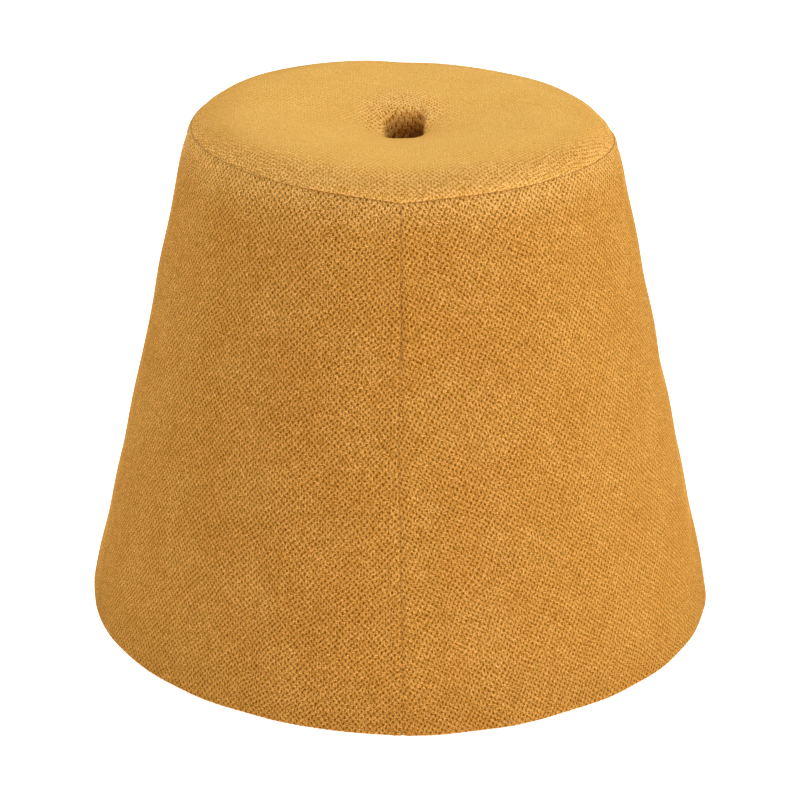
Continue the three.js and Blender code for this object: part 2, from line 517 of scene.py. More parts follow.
def side_outline(side):
    """The edge of a side panel in the flat cloth: up the front seam, back round the ring, down, and round."""
    rise = stepped(bottom_slant, float(seam_slant(FRONT)), EDGE_STEP)
    fall = stepped(float(seam_slant(BACK)), bottom_slant, EDGE_STEP)
    around = stepped(0, panel_spread, EDGE_STEP / (apex_reach - seam_slant(0)))
    below = stepped(panel_spread, 0, 2 * EDGE_STEP / apex_reach)
    parts = {
        "front": flat_wall(0 * rise, rise, side),
        "ring": flat_wall(around, seam_slant(angle_of(around, side)), side),
        "back": flat_wall(0 * fall + panel_spread, fall, side),
        "base": flat_wall(below, 0 * below + bottom_slant, side),
    }
    return {name: np.array(xy).T for name, xy in parts.items()}


def seam_rows(side):
    """Rows of points close beside the seams of a side panel."""
    rows = []
    for offset in SEAM_ROWS:
        for seam, start in ((FRONT, 0), (BACK, panel_spread)):
            slant = stepped(bottom_slant + EDGE_STEP, float(seam_slant(seam)) - offset, EDGE_STEP)
            turn = np.abs(start - np.arcsin(offset / (apex_reach - slant)))
            rows.append(np.array(flat_wall(turn, slant, side)).T)
        margin = math.asin(1.5 * offset / (apex_reach - SEAM_HEIGHT))
        turn = stepped(margin, panel_spread - margin, EDGE_STEP / (apex_reach - SEAM_HEIGHT))
        slant = seam_slant(angle_of(turn, side)) - offset
        rows.append(np.array(flat_wall(turn, slant, side)).T)
    return np.vstack(rows)


def seam_distances(turn, slant, angle):
    """Distance to the front, back and ring seams."""
    reach = apex_reach - slant
    return (
        reach * np.sin(turn),
        reach * np.sin(panel_spread - turn),
        seam_slant(angle) - slant,
    )


def wall_surface(angle, slant, relief):
    """Radius and height of the wall's cloth, with a relief that stands out from it."""
    radius, height, out, up = wall_line(slant)
    draw = SEAM_DRAW * np.exp(-(((seam_slant(angle) - slant) / SEAM_DRAW_REACH) ** 2))
    lean = wall_lean(angle, height) * smoothstep(slant, bottom_slant, 0)
    return radius + lean - draw + relief * out, height + relief * up


def wall_points(flat, weave, side):
    turn, slant, angle = wall_place(flat[:, 0], flat[:, 1], side)
    distance = np.maximum(np.minimum.reduce(seam_distances(turn, slant, angle)), 0)
    away = smoothstep(distance, 0, WALL_FADE)
    swell = WALL_SWELL * slow_waves(flat[:, 0], flat[:, 1], SWELL_SIZE, 40 + side)
    relief = seam_relief(distance) + (MESH_RELIEF * weave_height(*weave.T) + swell) * away
    radius, height = wall_surface(angle, slant, relief)
    theta = np.radians(angle + front_sway(height, angle))
    x = radius * np.cos(theta) + side * SEAM_GAP / 2
    return np.column_stack([x, radius * np.sin(theta), np.maximum(height, 0)])


def front_sway(height, angle):
    """Sideways shift of the wall beside the front seam, in degrees round the body."""
    sway = np.interp(height, *(np.array(FRONT_SWAY[column]) * MM for column in ("height", "sway")))
    nearness = np.exp(-((turn_between(FRONT, angle) / SWAY_SPREAD) ** 2))
    return np.degrees(sway / wall_radius(height)) * nearness


def side_cover(name, side, grain, jitter, seed, material):
    rng = np.random.default_rng(seed)
    outline = side_outline(side)
    loop = np.vstack([part[:-1] for part in outline.values()])
    x, y, u, v = yarn_points(loop.min(0), loop.max(0), grain, YARN_STEP, jitter, seed, rng)
    turn, slant, angle = wall_place(x, y, side)
    inside = np.minimum.reduce(seam_distances(turn, slant, angle)) > SEAM_MARGIN
    inside &= (turn > 0) & (turn < panel_spread) & (slant > bottom_slant + BOTTOM_MARGIN)
    edges = np.vstack([loop, seam_rows(side)])
    flat = np.vstack([edges, np.column_stack([x, y])[inside]])
    weave = np.vstack([weave_place(edges, grain, seed), np.column_stack([u, v])[inside]])
    cover = Cover()
    numbers = cover.add(wall_points(flat, weave, side), weave)
    sheet = {"scale": 1.22, "shift": (0.5, 1.41), "turn": -side * panel_spread / 2}
    cover.fill(numbers[:len(loop)], numbers[len(loop):], flat - (0, apex_reach), sheet)
    edge = np.append(numbers[:len(loop)], numbers[0])
    ends = np.cumsum([0] + [len(part) - 1 for part in outline.values()])
    close_side(cover, side, *(edge[a:b + 1] for a, b in zip(ends[:-1], ends[1:])))
    return cover.piece(name, material)


def half_rings(radii, side, step=9):
    """Points on half circles inside one side, clear of the plane between the sides."""
    turns = np.arange(step, 180, step)
    grid = np.vstack([round_body(radius, FRONT + side * turns) for radius in np.array(radii) * MM])
    return grid[np.abs(grid[:, 0]) > 1.5 * MM]


def middle_grid():
    """Points over the plane between the sides, with one in each low corner: (y, z) rows."""
    grid = np.array([(y, z) for y in np.arange(-200, 201, 25) for z in np.arange(25, 300, 25)]) * MM
    grid = grid[np.abs(grid[:, 0]) < wall_radius(grid[:, 1]) - 12 * MM]
    return np.vstack([grid, np.array(LOW_CORNERS) * MM])


def close_side(cover, side, front, ring, back, base):
    """Closes a side panel behind its cloth: under the top, over the base and between the sides."""
    x = side * SEAM_GAP / 2
    ys = np.array([*(-radius for radius in UNDER_RINGS), *UNDER_RINGS[::-1]]) * MM
    top = cover.add(np.column_stack([0 * ys + x, ys, side_top(np.abs(ys), np.degrees(np.arctan2(ys, 0)))]))
    ys = np.array([*FLOOR_RINGS, 0, *(-radius for radius in FLOOR_RINGS[::-1])]) * MM
    floor = cover.add(np.column_stack([0 * ys + x, ys, side_floor(np.abs(ys))]))
    grid = half_rings(UNDER_RINGS, side)
    under = np.column_stack([grid, side_top(*polar(grid))])
    sheet = {"scale": 1.0, "shift": (0.11 - side * 0.08, 0.81)}
    cover.fill_behind(np.concatenate([ring, top[::-1]]), under, (0, 1), sheet)
    grid = half_rings(FLOOR_RINGS, side)
    under = np.column_stack([grid, side_floor(np.hypot(*grid.T))])
    sheet = {"scale": 0.7, "shift": (0.3 - side * 0.08, 0.81)}
    cover.fill_behind(np.concatenate([base, floor[::-1]]), under, (0, 1), sheet)
    grid = middle_grid()
    press = PRESS_DEPTH * np.sin(grid[:, 0] / PRESS_LENGTH) + x
    outline = np.concatenate([front[:-1], ring[:1], top, back[:-1], base[:1], floor])
    sheet = {"scale": 0.85, "shift": (0.68, 0.64)}
    cover.fill_behind(outline, np.column_stack([press, grid]), (1, 2), sheet)


def side_top(radius, angle):
    return under_height(radius - STEM_ROOM, angle) - SEAM_GAP / 2


def side_floor(radius):
    return np.where(radius < BASE_PANEL_RADIUS + BASE_ROOM, BASE_PANEL_THICKNESS + BASE_HEADROOM, 0)


# Top panel


def tuft_lean(angle, radius, drop):
    """The dish is shallower at the back, so the far rim of the tuft stands higher than the near one."""
    far = (0.5 + 0.5 * np.cos(np.radians(angle - LEAN_ANGLE))) ** 1.5
    return TUFT_LEAN * far * min(drop / RIM_DROP, 1) * smoothstep(radius, *LEAN_RADIUS)


def section_rows(angle):
    """Rows of the top's section at each angle, from the ring seam's crease in to the bottom of the tuft."""
    seam = ring_seam_height(angle)
    edge = ring_seam_radius(angle)
    crest = crest_height(angle)
    give = along_form(angle, "shoulder")
    radii = [edge - CREASE_DEPTH]
    heights = [seam - CREASE_DEPTH * math.sin(wall_tilt) + SEAM_GAP]
    for inset, rise, share in zip(SHOULDER["inset"], SHOULDER["rise"], SHOULDER["give"]):
        radii.append(edge + RIDGE_HEIGHT - inset * MM - share * give)
        heights.append(seam + (crest - seam) * rise)
    for radius, drop in zip(np.array(DISH["radius"]) * MM, np.array(DISH["drop"]) * MM):
        evenness = smoothstep(radius, EVEN_RADIUS, DISH["radius"][0] * MM)
        square = SQUARENESS * smoothstep(radius, *SQUARE_RADIUS) * np.cos(np.radians(4 * angle))
        radii.append(radius * (1 - square))
        middle = SEAT_HEIGHT - drop + tuft_lean(angle, radius, drop)
        heights.append(middle + (crest - SEAT_HEIGHT) * evenness)
    return np.array(radii), np.array(heights)


def along_section(place, rows):
    """Value of the rows, one column for each place, on a smooth curve through them."""
    last = len(rows) - 1
    row = np.clip(np.floor(place).astype(int), 0, last - 1)
    column = np.arange(len(place))
    beside = (rows[np.clip(row + step, 0, last), column] for step in (-1, 0, 1, 2))
    return smooth_curve(*beside, place - row)


def along_even_section(place, rows):
    """The same, for rows that are alike at every angle."""
    return along_section(place, np.repeat(np.reshape(rows, (-1, 1)), len(place), axis=1))


def cloth_scale():
    """The section's places and the cloth radius at each, from the length of cloth along an even section."""
    rows = [column.mean(axis=1) for column in section_rows(np.arange(-180.0, 180.0, 5))]
    places = np.linspace(0, len(rows[0]) - 1, 600)
    radius, height = (along_even_section(places, column) for column in rows)
    length = np.concatenate([[0], np.cumsum(np.hypot(np.diff(radius), np.diff(height)))])
    seat = places > 3
    lip = np.interp(-LIP_RADIUS, -radius[seat], length[seat])
    outside = LIP_RADIUS + lip - length
    depth = np.maximum(length - lip, 0)
    inside = LIP_RADIUS * (1 - depth / depth[-1]) ** 2
    return places, np.where(length < lip, outside, inside)


section_places, cloth_radii = cloth_scale()
CLOTH_RADIUS = float(cloth_radii[0])


def tuft_slant(place, way):
    """How far to the back or to the right a place in the section lies, because the tuft slants."""
    rows = [0] * (1 + len(SHOULDER["inset"])) + [slant * MM for slant in DISH[way]]
    return along_even_section(place, rows)


def top_points(flat, weave):
    reach = np.hypot(*flat.T)
    theta = np.arctan2(flat[:, 1], flat[:, 0])
    radii, heights = section_rows(np.degrees(theta))
    place = np.interp(-reach, -cloth_radii, section_places)
    ahead, behind = np.minimum(place + 0.01, section_places[-1]), np.maximum(place - 0.01, 0)
    radius, height = along_section(place, radii), along_section(place, heights)
    run = along_section(ahead, radii) - along_section(behind, radii)
    rise = along_section(ahead, heights) - along_section(behind, heights)
    length = np.maximum(np.hypot(run, rise), 1e-9)
    swell = TOP_SWELL * slow_waves(flat[:, 0], flat[:, 1], SWELL_SIZE, 42) * smoothstep(reach, *SWELL_START)
    from_centre = np.hypot(radius * np.cos(theta), radius * np.sin(theta) - OPEN_CENTRE)
    opened = np.maximum(smoothstep(from_centre, *OPEN_RIM), smoothstep(from_centre, *OPEN_TUFT))
    relief = MESH_RELIEF * weave_height(*weave.T) * (1 - SMOOTHNESS * (1 - opened)) + swell
    relief *= smoothstep(CLOTH_RADIUS - reach, 0, TOP_FADE)
    relief *= smoothstep(reach, 0, BOTTOM_FADE)
    radius = radius + relief * rise / length
    height = height - relief * run / length
    x = radius * np.cos(theta) + tuft_slant(place, "right")
    y = radius * np.sin(theta) + tuft_slant(place, "back")
    return np.column_stack([x, y, height])


def ring_points(radius, step):
    count = max(12, round(2 * math.pi * radius / step))
    turn = np.linspace(0, 2 * math.pi, count, endpoint=False)
    return np.column_stack([radius * np.cos(turn), radius * np.sin(turn)])


def top_cover(name, grain, jitter, seed, material):
    rng = np.random.default_rng(seed)
    loop = ring_points(CLOTH_RADIUS, EDGE_STEP)
    rows = [ring_points(CLOTH_RADIUS - offset, EDGE_STEP) for offset in SEAM_ROWS]
    low, high = np.full(2, -CLOTH_RADIUS), np.full(2, CLOTH_RADIUS)
    found = []
    for step, nearest, furthest in (
        (YARN_STEP, TUFT_POINTS[1], CLOTH_RADIUS - SEAM_MARGIN),
        (TUFT_STEP, 0, TUFT_POINTS[0]),
    ):
        x, y, u, v = yarn_points(low, high, grain, step, jitter * step / YARN_STEP, seed, rng)
        reach = np.hypot(x, y)
        inside = (reach > nearest) & (reach < furthest)
        found.append(np.column_stack([x, y, u, v])[inside])
    found = np.vstack(found)
    edges = np.vstack([loop, *rows])
    flat = np.vstack([edges, found[:, :2]])
    weave = np.vstack([weave_place(edges, grain, seed), found[:, 2:]])
    cover = Cover()
    numbers = cover.add(top_points(flat, weave), weave)
    ring = numbers[:len(loop)]
    cover.fill(ring, numbers[len(loop):], flat, {"scale": 0.485 / CLOTH_RADIUS, "shift": (0.5, 0.5)})
    grid = np.vstack([ring_points(radius * MM, 12 * MM) for radius in TOP_RINGS])
    under = np.column_stack([grid, under_height(*polar(grid)) + SEAM_GAP / 2])
    cover.fill_behind(ring, under, (0, 1), {"scale": 0.42, "shift": (0.075, 0.075)})
    return cover.piece(name, material)


# Base panel

FELT_LIFT = 0.2 * MM
FELT_SIDES = 96


def base_cover(name, material):
    """A flat disc of felt, closed, with a rounded edge."""
    mesh = bpy.data.meshes.new(name)
    form = bmesh.new()
    radius, thickness = BASE_PANEL_RADIUS, BASE_PANEL_THICKNESS
    rows = [(share * radius, FELT_LIFT) for share in (0.2, 0.4, 0.6, 0.8, 0.95)]
    turns = np.linspace(0, math.pi, 7)
    rows += [(radius - thickness / 2 * (1 - math.sin(t)), thickness / 2 * (1 - math.cos(t))) for t in turns]
    rows += [(share * radius, thickness) for share in (0.8, 0.4)]
    angles = np.linspace(0, 2 * math.pi, FELT_SIDES, endpoint=False)
    rings = [[form.verts.new((r * math.cos(a), r * math.sin(a), z)) for a in angles] for r, z in rows]
    for inner, outer in zip(rings[:-1], rings[1:]):
        for i in range(FELT_SIDES):
            form.faces.new([inner[i - 1], inner[i], outer[i], outer[i - 1]])
    for ring, height in ((rings[0], FELT_LIFT), (rings[-1], thickness)):
        centre = form.verts.new((0, 0, height))
        for i in range(FELT_SIDES):
            form.faces.new([ring[i - 1], ring[i], centre])
    bmesh.ops.recalc_face_normals(form, faces=form.faces)
    form.to_mesh(mesh)
    form.free()
    return add_piece(name, mesh, material)


# Stitches, low in the creases of the seams. Each leans and twists a little, in radians

STITCH_PITCH = 4 * MM
STITCH_LENGTH = 2.9 * MM
THREAD_RADIUS = 0.24 * MM
THREAD_SINK = 0.15 * MM
STITCH_END = 6 * MM
STITCH_TWIST = 0.5
STITCH_LEAN = 0.09


def upright_path(seam):
    """Points up the bottom of an upright crease."""
    slant = np.arange(STITCH_END, float(seam_slant(seam)) - STITCH_END, EDGE_STEP)
    angle = np.full(len(slant), float(seam))
    radius, height = wall_surface(angle, slant, -CREASE_DEPTH + THREAD_SINK)
    return round_body(radius, angle + front_sway(height, angle), height)


def ring_path():
    """Points round the bottom of the crease of the ring seam, which starts and ends at the back."""
    angle = np.arange(BACK + 0.5, BACK + 360, 0.5)
    radius = ring_seam_radius(angle) - CREASE_DEPTH + THREAD_SINK
    return round_body(radius, angle, ring_seam_height(angle))


def path_object(name, paths):
    points, edges = np.vstack(paths), []
    for path in paths:
        start = edges[-1][1] + 1 if edges else 0
        edges += [(start + i, start + i + 1) for i in range(len(path) - 1)]
    mesh = bpy.data.meshes.new(name)
    mesh.from_pydata(points.tolist(), edges, [])
    return add_object(name, mesh)


def stitch_tree():
    """A row of stitches along a path: one long bead of thread each, laid along it and turned a little."""
    tree = bpy.data.node_groups.new("stitches", "GeometryNodeTree")
    for name, kind in (
        ("Path", "NodeSocketGeometry"),
        ("Pitch", "NodeSocketFloat"),
        ("Length", "NodeSocketFloat"),
        ("Thread", "NodeSocketFloat"),
        ("Seed", "NodeSocketInt"),
        ("Finish", "NodeSocketMaterial"),
    ):
        tree.interface.new_socket(name, in_out="INPUT", socket_type=kind)
    tree.interface.new_socket("Stitches", in_out="OUTPUT", socket_type="NodeSocketGeometry")
    given = add_node(tree, "NodeGroupInput").outputs
    line = add_node(tree, "GeometryNodeMeshToCurve", {0: given["Path"]})
    inputs = {"Curve": line.outputs[0], "Length": given["Pitch"]}
    line = add_node(tree, "GeometryNodeResampleCurve", inputs, mode="LENGTH")
    bead = add_node(tree, "GeometryNodeMeshUVSphere", {"Segments": 6, "Rings": 4, "Radius": 1.0})
    bead = add_node(tree, "GeometryNodeSetShadeSmooth", {"Geometry": bead.outputs[0]})
    tangent = add_node(tree, "GeometryNodeInputTangent").outputs[0]
    turn = add_node(tree, "FunctionNodeAlignRotationToVector", {"Vector": tangent}, axis="X")
    slant = add_node(tree, "FunctionNodeRandomValue", {"Seed": given["Seed"]}, data_type="FLOAT_VECTOR")
    slant.inputs["Min"].default_value = (-STITCH_TWIST, -STITCH_LEAN, -STITCH_LEAN)
    slant.inputs["Max"].default_value = (STITCH_TWIST, STITCH_LEAN, STITCH_LEAN)
    inputs = {"Rotation": turn.outputs[0], "Rotate By": slant.outputs["Value"]}
    turn = add_node(tree, "FunctionNodeRotateRotation", inputs, rotation_space="LOCAL")
    half = calc(tree, "MULTIPLY", given["Length"], 0.5)
    inputs = {
        "Points": line.outputs[0],
        "Instance": bead.outputs[0],
        "Rotation": turn.outputs[0],
        "Scale": vector(tree, half, given["Thread"], given["Thread"]),
    }
    row = add_node(tree, "GeometryNodeInstanceOnPoints", inputs)
    row = add_node(tree, "GeometryNodeRealizeInstances", {0: row.outputs[0]})
    row = add_node(tree, "GeometryNodeSetMaterial", {"Geometry": row.outputs[0], "Material": given["Finish"]})
    add_node(tree, "NodeGroupOutput", {0: row.outputs[0]})
    return tree


def seam_stitches(name, material):
    made = path_object(name, [upright_path(FRONT), upright_path(BACK), ring_path()])
    tree = stitch_tree()
    modifier = made.modifiers.new("stitches", "NODES")
    modifier.node_group = tree
    values = {
        "Pitch": STITCH_PITCH,
        "Length": STITCH_LENGTH,
        "Thread": THREAD_RADIUS,
        "Seed": 7,
        "Finish": material,
    }
    for socket in tree.interface.items_tree:
        if socket.name in values:
            modifier[socket.identifier] = values[socket.name]
    evaluated = made.evaluated_get(bpy.context.evaluated_depsgraph_get())
    mesh = bpy.data.meshes.new_from_object(evaluated)
    made.modifiers.clear()
    mesh.materials.pop(index=0)
    mesh.name = name
    made.data = mesh
    return made


# Materials. A noise's values mostly lie in its range. The yarns' own numbers are in millimetres and in yarns

NOISE_RANGE = (0.3, 0.7)
STRAY = 0.32
STRAY_SIZE = 1.6 * MM
TWIST_ALONG = 1.6
TWIST_ACROSS = 5.0
STRAND_SIZE = 0.8
FUZZ_SIZE = 0.7 * MM
FUZZ_HEIGHT = 1.25
SLUB_SIZE = 1.4 * MM
SLUB_HEIGHT = 0.3
YARN_UNEVENNESS = 0.1
STRAND_UNEVENNESS = 0.6
FUZZ_UNEVENNESS = 0.58
DEEPEST_TONE = 0.66
PATCH_SIZE = 40 * MM
BUMP = 0.85
TONE_POWERS = (0.85, 1.15, 2.5)
OPEN_GLEAM = 0.22
# Painted shade in the weave's hollows: the heights of the weave over which it deepens, and its colour and
# strength on the wall and on the seat
HOLLOW_SHADE_HEIGHTS = (-0.2, -0.8)
HOLLOW_SHADE = (0.15, 0.035, 0.003)
HOLLOW_SHADE_STRENGTH = 0.88
SEAT_HOLLOW_SHADE = (0.47, 0.16, 0)
SEAT_HOLLOW_SHADE_STRENGTH = 0.86
# The cloth's colours on the wall, and the seat's paler ones, which are painted sheen and top light on the
# same cloth
SIDE_LIGHT = (0.592, 0.267, 0.041)
SIDE_DEEP = (0.559, 0.238, 0.033)
PAINTED_SEAT_LIGHT = (0.87, 0.49, 0.118)
PAINTED_SEAT_DEEP = (0.85, 0.465, 0.108)
SEAT_SHEEN = 0.15
SIDE_SHEEN = 0.3
SHEEN_TINT = (1, 0.7, 0.15)
THREAD_DEEP = (0.36, 0.14, 0.018)
THREAD_LIGHT = (0.56, 0.25, 0.04)
FELT_DEEP = (0.012, 0.011, 0.01)
FELT_LIGHT = (0.05, 0.046, 0.042)


def add_node(tree, kind, inputs=None, **settings):
    """Adds a node. An input is given by its name or number, as a value or as the socket that feeds it."""
    made = tree.nodes.new(kind)
    for name, value in settings.items():
        setattr(made, name, value)
    for key, value in (inputs or {}).items():
        if isinstance(value, bpy.types.NodeSocket):
            tree.links.new(value, made.inputs[key])
        else:
            made.inputs[key].default_value = value
    return made


def calc(tree, operation, *values):
    made = add_node(tree, "ShaderNodeMath", dict(enumerate(values)), operation=operation)
    return made.outputs[0]


def calc_vector(tree, operation, *values):
    return add_node(tree, "ShaderNodeVectorMath", dict(enumerate(values)), operation=operation).outputs[0]


def vector(tree, *values):
    return add_node(tree, "ShaderNodeCombineXYZ", dict(enumerate(values))).outputs[0]


def blend_colours(tree, factor, first, second, blend_type="MIX"):
    """A blend of two colours, each given as a socket or as red, green and blue."""
    inputs = {0: factor}
    for key, colour in ((6, first), (7, second)):
        inputs[key] = (*colour, 1) if isinstance(colour, tuple) else colour
    made = add_node(tree, "ShaderNodeMix", inputs, data_type="RGBA", blend_type=blend_type)
    return made.outputs[2]


def shaded(tree, colour, shade):
    return blend_colours(tree, 1.0, colour, shade, "MULTIPLY")


def remap(tree, value, low, high, to_low=0.0, to_high=1.0):
    inputs = {"Value": value, "From Min": low, "From Max": high, "To Min": to_low, "To Max": to_high}
    made = add_node(tree, "ShaderNodeMapRange", inputs, interpolation_type="SMOOTHSTEP")
    return made.outputs["Result"]


def noise(tree, place, size, detail=2.0, output="Fac"):
    """Soft noise with features about size across."""
    made = add_node(tree, "ShaderNodeTexNoise", {"Vector": place, "Scale": 1 / size, "Detail": detail})
    return made.outputs[output]


def random_number(tree, *keys):
    return add_node(tree, "ShaderNodeTexWhiteNoise", {"Vector": vector(tree, *keys)}).outputs["Value"]


def object_place(tree):
    return add_node(tree, "ShaderNodeTexCoord").outputs["Object"]


def new_material(name):
    material = bpy.data.materials.new(name)
    material.use_nodes = True
    return material, material.node_tree, material.node_tree.nodes["Principled BSDF"]


def set_inputs(shader, values):
    for name, value in values.items():
        shader.inputs[name].default_value = value


def dress(tree, shader, colour, height, values):
    """Gives a shader its colour, its relief in metres and its constant values."""
    bump = add_node(tree, "ShaderNodeBump", {"Height": height, "Distance": 1.0})
    tree.links.new(colour, shader.inputs["Base Color"])
    tree.links.new(bump.outputs[0], shader.inputs["Normal"])
    set_inputs(shader, values)


def cosine(tree, turns):
    return calc(tree, "COSINE", calc(tree, "MULTIPLY", turns, math.pi))


def yarns(tree, stray):
    """The weave at a point: its height, the place along and across the weft yarn, and the yarn's numbers."""
    place = add_node(tree, "ShaderNodeUVMap", uv_map="Yarns").outputs[0]
    stray = calc_vector(tree, "SUBTRACT", stray, (0.5, 0.5, 0.5))
    place = calc_vector(tree, "ADD", place, calc_vector(tree, "MULTIPLY", stray, (STRAY, STRAY, 0)))
    u, v, _ = add_node(tree, "ShaderNodeSeparateXYZ", {0: place}).outputs
    bulge = calc(tree, "MULTIPLY", cosine(tree, u), calc(tree, "SINE", calc(tree, "MULTIPLY", v, math.pi)))
    v = calc(tree, "MULTIPLY_ADD", bulge, -YARN_BULGE, v)
    column, row = calc(tree, "ROUND", u), calc(tree, "ROUND", v)
    along = calc(tree, "WRAP", calc(tree, "SUBTRACT", u, row), 1.0, -1.0)
    across = calc(tree, "SUBTRACT", v, row)
    dive = remap(tree, calc(tree, "ABSOLUTE", along), DIVE_START, 1.0, 0.0, -YARN_DIVE / MM)
    edge = calc(tree, "MULTIPLY", across, YARN_FULLNESS)
    edge = calc(tree, "SQRT", calc(tree, "SUBTRACT", 1.0, calc(tree, "MULTIPLY", edge, edge)))
    weft = calc(tree, "MULTIPLY_ADD", calc(tree, "SUBTRACT", edge, 1.0), YARN_ROUND / MM, dive)
    warp = calc(tree, "SUBTRACT", cosine(tree, calc(tree, "SUBTRACT", u, column)), 1.0)
    warp = calc(tree, "MULTIPLY_ADD", warp, WARP_ROUND / MM, -WARP_SINK / MM)
    knuckle = calc(tree, "ROUND", calc(tree, "SUBTRACT", u, along))
    return calc(tree, "SMOOTH_MAX", weft, warp, 0.1), along, across, knuckle, row


def yarn_surface(tree, place, seed):
    """Height of the weave with its fuzz and slubs, and the tone of its strands, about 1."""
    stray = noise(tree, place, STRAY_SIZE, 1.0, "Color")
    height, along, across, knuckle, row = yarns(tree, stray)
    each = random_number(tree, knuckle, row, float(seed))
    twist = calc(tree, "MULTIPLY_ADD", along, TWIST_ALONG, calc(tree, "MULTIPLY", across, TWIST_ACROSS))
    own = calc(tree, "MULTIPLY_ADD", knuckle, 3.7, row)
    strands = noise(tree, vector(tree, twist, along, own), STRAND_SIZE)
    fuzz = noise(tree, place, FUZZ_SIZE)
    slubs = noise(tree, place, SLUB_SIZE)
    for value, rise in ((slubs, SLUB_HEIGHT), (each, YARN_UNEVENNESS), (fuzz, FUZZ_HEIGHT)):
        height = calc(tree, "MULTIPLY_ADD", calc(tree, "SUBTRACT", value, 0.5), rise, height)
    tone = calc(tree, "MULTIPLY_ADD", strands, STRAND_UNEVENNESS, DEEPEST_TONE)
    tone = calc(tree, "MULTIPLY_ADD", each, YARN_UNEVENNESS, tone)
    uneven = remap(tree, fuzz, *NOISE_RANGE, 1 - FUZZ_UNEVENNESS, 1 + FUZZ_UNEVENNESS)
    return height, calc(tree, "MULTIPLY", tone, uneven)


def seat_opening_and_painted_light(tree, place):
    """On the top: how far the weave is open, how much painted sheen and top light makes the cloth pale, and
    the painted shade down in the tuft.
    """
    flat = calc_vector(tree, "MULTIPLY", place, (1, 1, 0))
    reach = add_node(tree, "ShaderNodeVectorMath", {0: flat}, operation="LENGTH").outputs["Value"]
    around = add_node(tree, "ShaderNodeVectorMath", {0: flat, 1: (0, OPEN_CENTRE, 0)}, operation="DISTANCE")
    opened = [remap(tree, around.outputs["Value"], *limits) for limits in (OPEN_RIM, OPEN_TUFT)]
    x, _, z = add_node(tree, "ShaderNodeSeparateXYZ", {0: place}).outputs
    # Painted shade down in the tuft, deeper on its right side
    depth = calc(tree, "MULTIPLY_ADD", x, SHADE_SLOPE, z)
    shade = [remap(tree, depth, *TUFT_SHADE, 1.0, SHADE), remap(tree, reach, *TUFT_SHADE_RADIUS)]
    painted_sheen = remap(tree, reach, *PAINTED_SHEEN_RIM, RIM_PAINTED_SHEEN, 1.0)
    return calc(tree, "MAXIMUM", *opened), painted_sheen, calc(tree, "MAXIMUM", *shade)


def wall_painted_light(tree, place):
    """On the wall: the same, with painted sheen near the top so that it meets the top in colour, and painted
    shade at its foot, darker towards the floor.
    """
    z = add_node(tree, "ShaderNodeSeparateXYZ", {0: place}).outputs["Z"]
    return 1.0, remap(tree, z, *PAINTED_SHEEN_WALL, 0.0, WALL_PAINTED_SHEEN), remap(tree, z, *FOOT_SHADE_HEIGHTS, FOOT_SHADE, 1.0)


def woven(name, seed, seat):
    """Chunky plain weave of soft twisted yarns, uneven in colour, with painted shade in the slits between
    them, painted sheen on the seat, and painted shade in the tuft and at the wall's foot.
    """
    material, tree, shader = new_material(name)
    place = object_place(tree)
    opened, painted_sheen, shade = seat_opening_and_painted_light(tree, place) if seat else wall_painted_light(tree, place)
    relief = calc(tree, "MULTIPLY_ADD", opened, SMOOTHNESS, 1 - SMOOTHNESS)
    height, tone = yarn_surface(tree, place, seed)
    tone = calc(tree, "MULTIPLY_ADD", calc(tree, "SUBTRACT", tone, 1.0), relief, 1.0)
    tone = vector(tree, *(calc(tree, "POWER", tone, power) for power in TONE_POWERS))
    tone = calc_vector(tree, "MULTIPLY", tone, calc(tree, "MULTIPLY_ADD", opened, OPEN_GLEAM, 1.0))
    patches = remap(tree, noise(tree, place, PATCH_SIZE), *NOISE_RANGE)
    side = blend_colours(tree, patches, SIDE_DEEP, SIDE_LIGHT)
    # The seat's paler colour is painted sheen and top light
    colour = blend_colours(tree, painted_sheen, side, blend_colours(tree, patches, PAINTED_SEAT_DEEP, PAINTED_SEAT_LIGHT))
    # Painted shade in the hollows between the yarns
    hollow_shade, hollow_shade_strength = (SEAT_HOLLOW_SHADE, SEAT_HOLLOW_SHADE_STRENGTH) if seat else (HOLLOW_SHADE, HOLLOW_SHADE_STRENGTH)
    depth = calc(tree, "MULTIPLY", remap(tree, height, *HOLLOW_SHADE_HEIGHTS, 0.0, hollow_shade_strength), relief)
    colour = blend_colours(tree, depth, shaded(tree, colour, tone), hollow_shade)
    height = calc(tree, "MULTIPLY", calc(tree, "MULTIPLY", height, relief), BUMP * MM)
    # Painted shade in the tuft and at the wall's foot
    dress(tree, shader, shaded(tree, colour, shade), height, {
        "Roughness": 0.9,
        "Specular IOR Level": 0.04,
        "Sheen Weight": SEAT_SHEEN if seat else SIDE_SHEEN,
        "Sheen Roughness": 0.35,
        "Sheen Tint": (*SHEEN_TINT, 1),
    })
    return material


def thread(name):
    """Twisted polyester thread, a little darker than the cloth."""
    material, tree, shader = new_material(name)
    place = object_place(tree)
    plies = noise(tree, place, 0.35 * MM, 1.0)
    colour = blend_colours(tree, remap(tree, plies, 0.35, 0.65), THREAD_DEEP, THREAD_LIGHT)
    patches = remap(tree, noise(tree, place, 6 * MM), *NOISE_RANGE, 0.85, 1.1)
    height = calc(tree, "MULTIPLY", plies, 0.12 * MM)
    values = {"Roughness": 0.6, "Specular IOR Level": 0.3}
    dress(tree, shader, shaded(tree, colour, patches), height, values)
    return material


